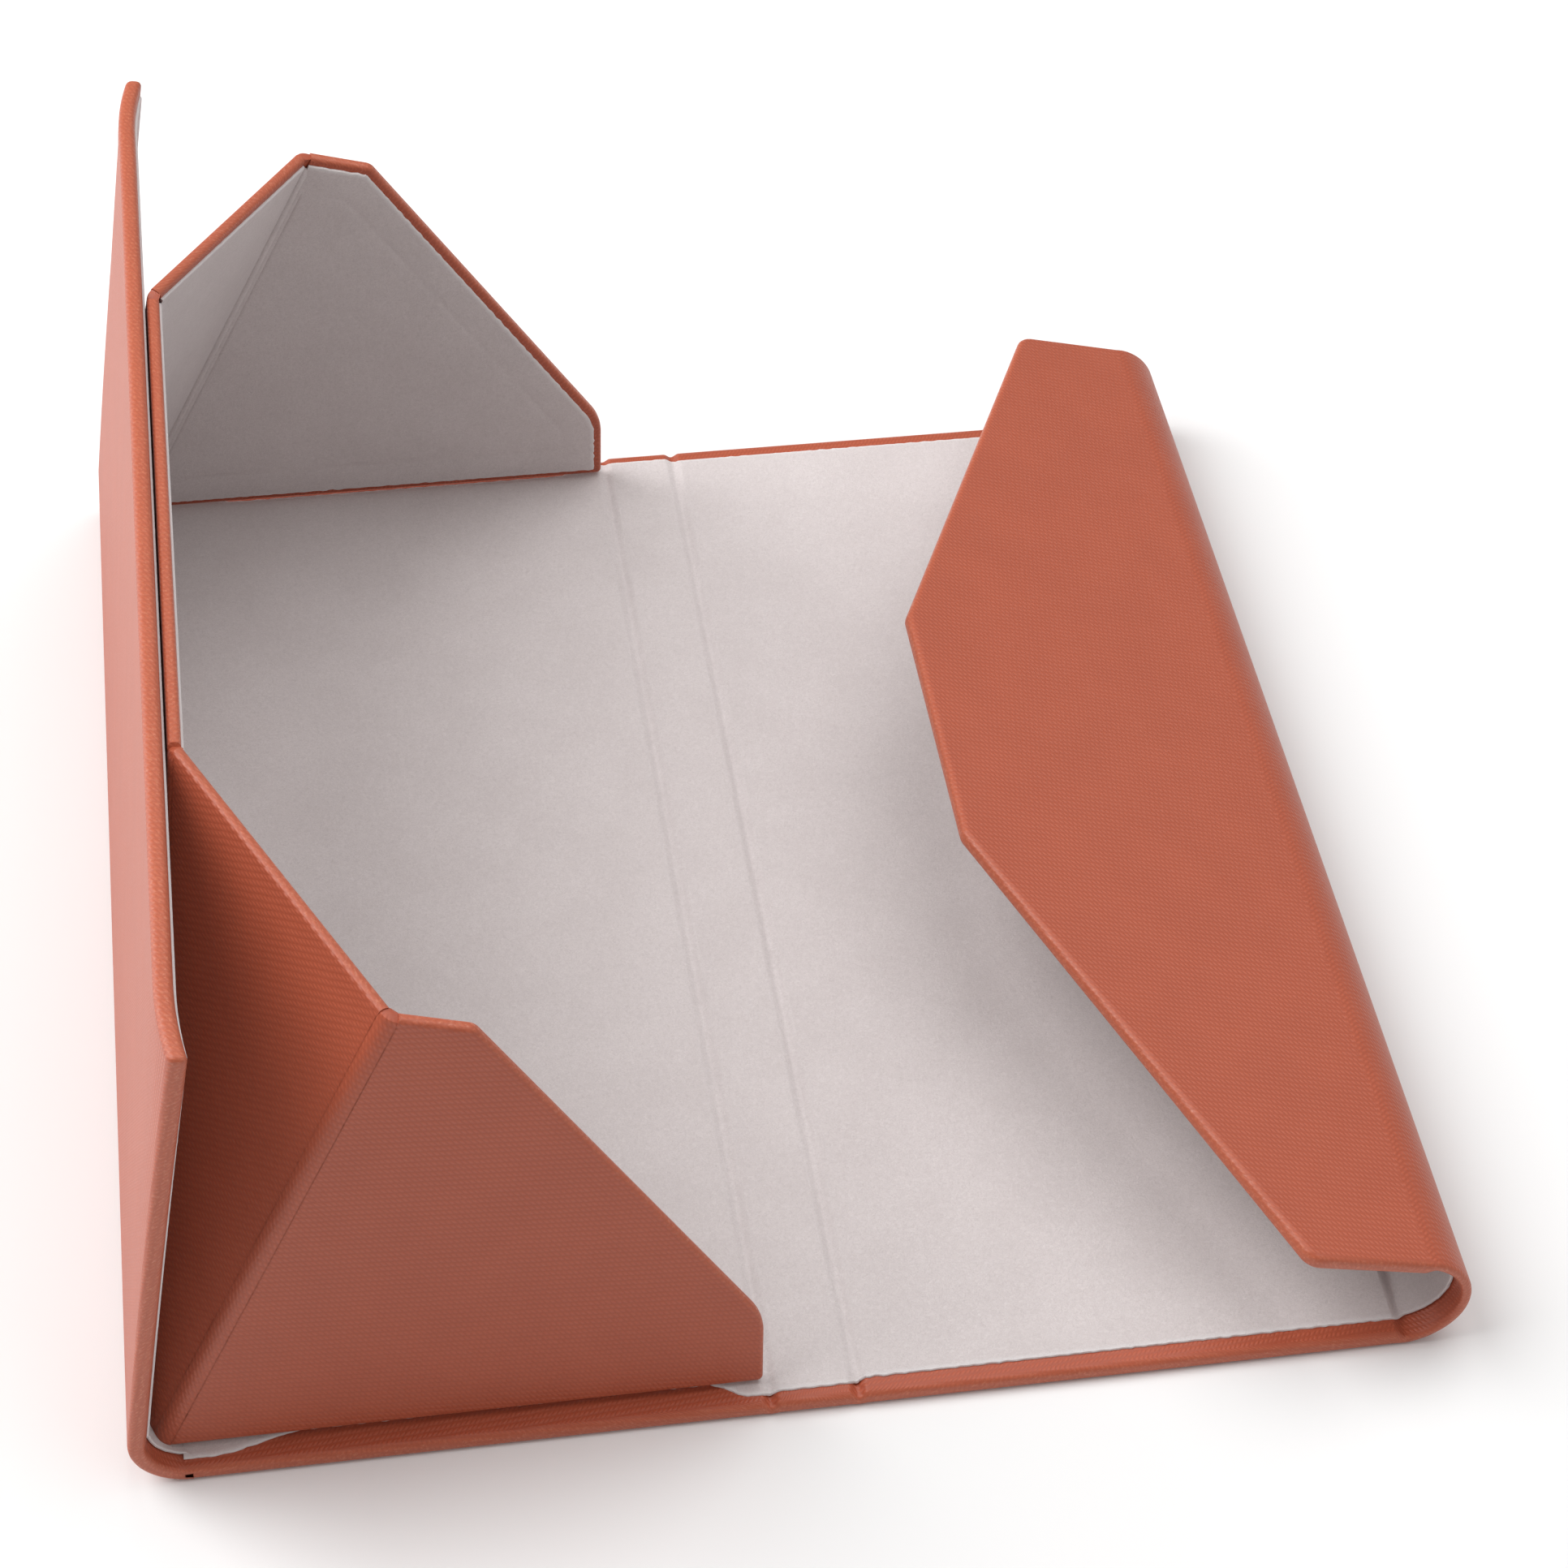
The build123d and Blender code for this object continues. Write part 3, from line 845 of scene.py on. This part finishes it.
# ======== folds of the tray's skin, between panels that are cut back from each other ========
def crease_of(first, second, third, thickness):
    """Corner where three panels' lining faces meet, and the way up the crease of the first two."""
    normals = np.array([panels[name].inward for name in (first, second, third)])
    reach = [panels[name].inward @ panels[name].origin + thickness for name in (first, second, third)]
    corner = np.linalg.solve(normals, reach)
    way = unit(np.cross(normals[0], normals[1]))
    return corner, way * np.sign(way[2])


def fold_frame(name, corner, way):
    """A panel's outward direction and its direction away from the crease."""
    panel = panels[name]
    outward = -panel.inward
    side = unit(np.cross(way, outward))
    middle = panel.place(panel.corners.mean(0)[None], 0)[0]
    return outward, side * np.sign(side @ (middle - corner))


def carried(name, corner, way, places, section, scale):
    """A closed section carried straight up a crease, scaled about the crease at each place."""
    points = corner + places[:, None, None] * way + section * scale[:, None, None]
    faces = capped_faces(len(places), len(section))
    round_it = np.concatenate(([0], np.cumsum(np.linalg.norm(np.diff(section, axis=0), axis=1))))
    pattern = np.stack(np.broadcast_arrays(round_it, places[:, None]), -1).reshape(-1, 2)
    return make_piece(name, points.reshape(-1, 3), faces, pattern, np.full(len(pattern), FOLD_WEAR))


def outer_fold(first, second, corner, way, radius):
    """Section of the skin round the outside of a fold: an arc about the crease from one panel's
    outer face to the other's, with a short flat overhang on each."""
    out_a, side_a = fold_frame(first, corner, way)
    out_b, side_b = fold_frame(second, corner, way)
    turn = math.acos(float(out_a @ out_b))
    shares = np.linspace(0, 1, 13)[:, None]
    arc = (np.sin((1 - shares) * turn) * out_a + np.sin(shares * turn) * out_b) / math.sin(turn)
    outer = np.concatenate((out_a[None] + side_a * FOLD_OVERHANG / radius, arc,
                            out_b[None] + side_b * FOLD_OVERHANG / radius)) * radius
    inner = np.array((out_b * 0.6 + side_b * FOLD_OVERHANG, out_a * 0.6 + side_a * FOLD_OVERHANG))
    return np.concatenate((outer, inner))


def round_fold(first, corner, way):
    """Section of the lining along an opened crease: a full circle, alike at every angle of the fold."""
    outward, side = fold_frame(first, corner, way)
    angles = np.linspace(0, 2 * math.pi, 16, endpoint=False)[:, None]
    return ROUND_FOLD_RADIUS * (np.cos(angles) * outward + np.sin(angles) * side)


def inner_fold(first, second, corner, way):
    """Section of the lining in the hollow of a fold: a curve that leaves one face and joins the
    other, with the crease as its middle control point, and a back under both sheets."""
    out_a, side_a = fold_frame(first, corner, way)
    out_b, side_b = fold_frame(second, corner, way)
    shares = np.linspace(0, 1, 9)[:, None]
    curve = (1 - shares) ** 2 * side_a * FILLET_REACH + shares ** 2 * side_b * FILLET_REACH
    curve = curve - unit(out_a + out_b) * 0.05
    back = np.array((side_b * FILLET_REACH + out_b * 0.3, side_a * FILLET_REACH + out_a * 0.3))
    return np.concatenate((curve, back))


tray_thickness = TRAY_SKIN + TRAY_BOARD + LINING
for end in ("near", "far"):
    gusset, facet = end + "_gusset", end + "_corner_facet"
    for title, first, third in (("gusset_fold", gusset, "tray_wall"), ("wall_fold", "tray_wall", gusset)):
        corner, way = crease_of(first, facet, third, tray_thickness)
        reach = max((node_points(facet + "_cover") - corner) @ way)
        outer = outer_fold(first, facet, corner, way, tray_thickness)
        if first == gusset:
            inner = round_fold(first, corner, way)
        else:
            inner = inner_fold(first, facet, corner, way)
        ends = np.array((0.3, 0.5, 1.0, reach / 2, reach - 0.9, reach - 0.4, reach - 0.15))
        taper = np.array((0.7, 0.9, 1.0, 1.0, 1.0, 0.93, 0.7))
        skin = carried(end + "_" + title + "_leather", corner, way, ends, outer, taper)
        dress(skin, LEATHER)
        ends = np.array((0.3, 0.8, reach / 2, reach - 2.4, reach - 1.6))
        taper = np.array((0.6, 1.0, 1.0, 1.0, 0.6))
        cloth = carried(end + "_" + title + "_suede", corner, way, ends, inner, taper)
        dress(cloth, SUEDE)
        for piece in (skin, cloth):
            if first == gusset:
                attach(piece, gusset)
            else:
                _, side_a = fold_frame(first, corner, way)
                _, side_b = fold_frame(facet, corner, way)
                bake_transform(piece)


# ======== boards and magnets keep their own shapes, but for the curled back wall's board ========
board_rows = [(COVER_RIM + 0.05, COVER_RIM, COVER_SKIN + 0.02, 0.0, 0.0, 0.0),
              (COVER_RIM + 0.05, COVER_RIM, board_top - 0.02, 0.0, 0.0, 0.0)]
curled_board = closed_panel("back_wall_curled_board", panels["back_wall"], board_rows)
dress(curled_board, BOARD, ["back_wall_board"])
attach(curled_board, "back_wall")
for name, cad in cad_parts.items():
    if name.endswith("_board") or name.endswith("_magnets"):
        cad.data.materials.clear()
        cad.data.materials.append(MAGNET if name.endswith("_magnets") else BOARD)


# ======== floor, light and camera ========
bpy.ops.mesh.primitive_plane_add(size=12.0, location=(0, 0, 0))
floor = bpy.context.object
floor.name = "floor"
floor.data.materials.append(pale_floor())

world = bpy.data.worlds.new("studio")
bpy.context.scene.world = world
world.use_nodes = True
background = world.node_tree.nodes["Background"]
background.inputs["Color"].default_value = (1.0, 0.985, 0.975, 1.0)
background.inputs["Strength"].default_value = 0.32


def soft_light(name, place, target, size, power):
    data = bpy.data.lights.new(name, "AREA")
    data.shape = "DISK"
    data.size = size
    data.energy = power
    light = bpy.data.objects.new(name, data)
    light.location = place
    light.rotation_euler = (Vector(target) - Vector(place)).to_track_quat("-Z", "Y").to_euler()
    bpy.context.scene.collection.objects.link(light)


soft_light("overhead", (0.35, 0.3, 1.0), (0.03, 0, 0), 0.9, 4.6)
soft_light("left_high", (-0.6, 0.15, 0.85), (0.03, 0, 0), 0.9, 9.0)
soft_light("wall_side", (-0.85, 0.45, 0.3), (-0.03, 0, 0.03), 0.7, 3.2)
soft_light("front_right", (0.75, -0.55, 0.75), (0.03, 0, 0), 1.0, 1.6)

CAMERA_PLACE = (-0.0093, -0.3093, 0.3377)
CAMERA_AZIMUTH = math.radians(-10.37)
CAMERA_ELEVATION = math.radians(45.6)
CAMERA_ROLL = math.radians(2.33)
SENSOR = 36.0
LENS = 81.9

camera_data = bpy.data.cameras.new("camera")
camera_data.lens = LENS
camera_data.sensor_width = SENSOR
camera_data.clip_start = 0.01
camera = bpy.data.objects.new("camera", camera_data)
turn = (Matrix.Rotation(CAMERA_AZIMUTH, 4, "Z") @ Matrix.Rotation(math.pi / 2 - CAMERA_ELEVATION, 4, "X")
        @ Matrix.Rotation(CAMERA_ROLL, 4, "Z"))
camera.matrix_world = Matrix.Translation(CAMERA_PLACE) @ turn
bpy.context.scene.collection.objects.link(camera)
bpy.context.scene.camera = camera
bpy.context.scene.view_settings.view_transform = "Standard"

bpy.context.view_layer.update()
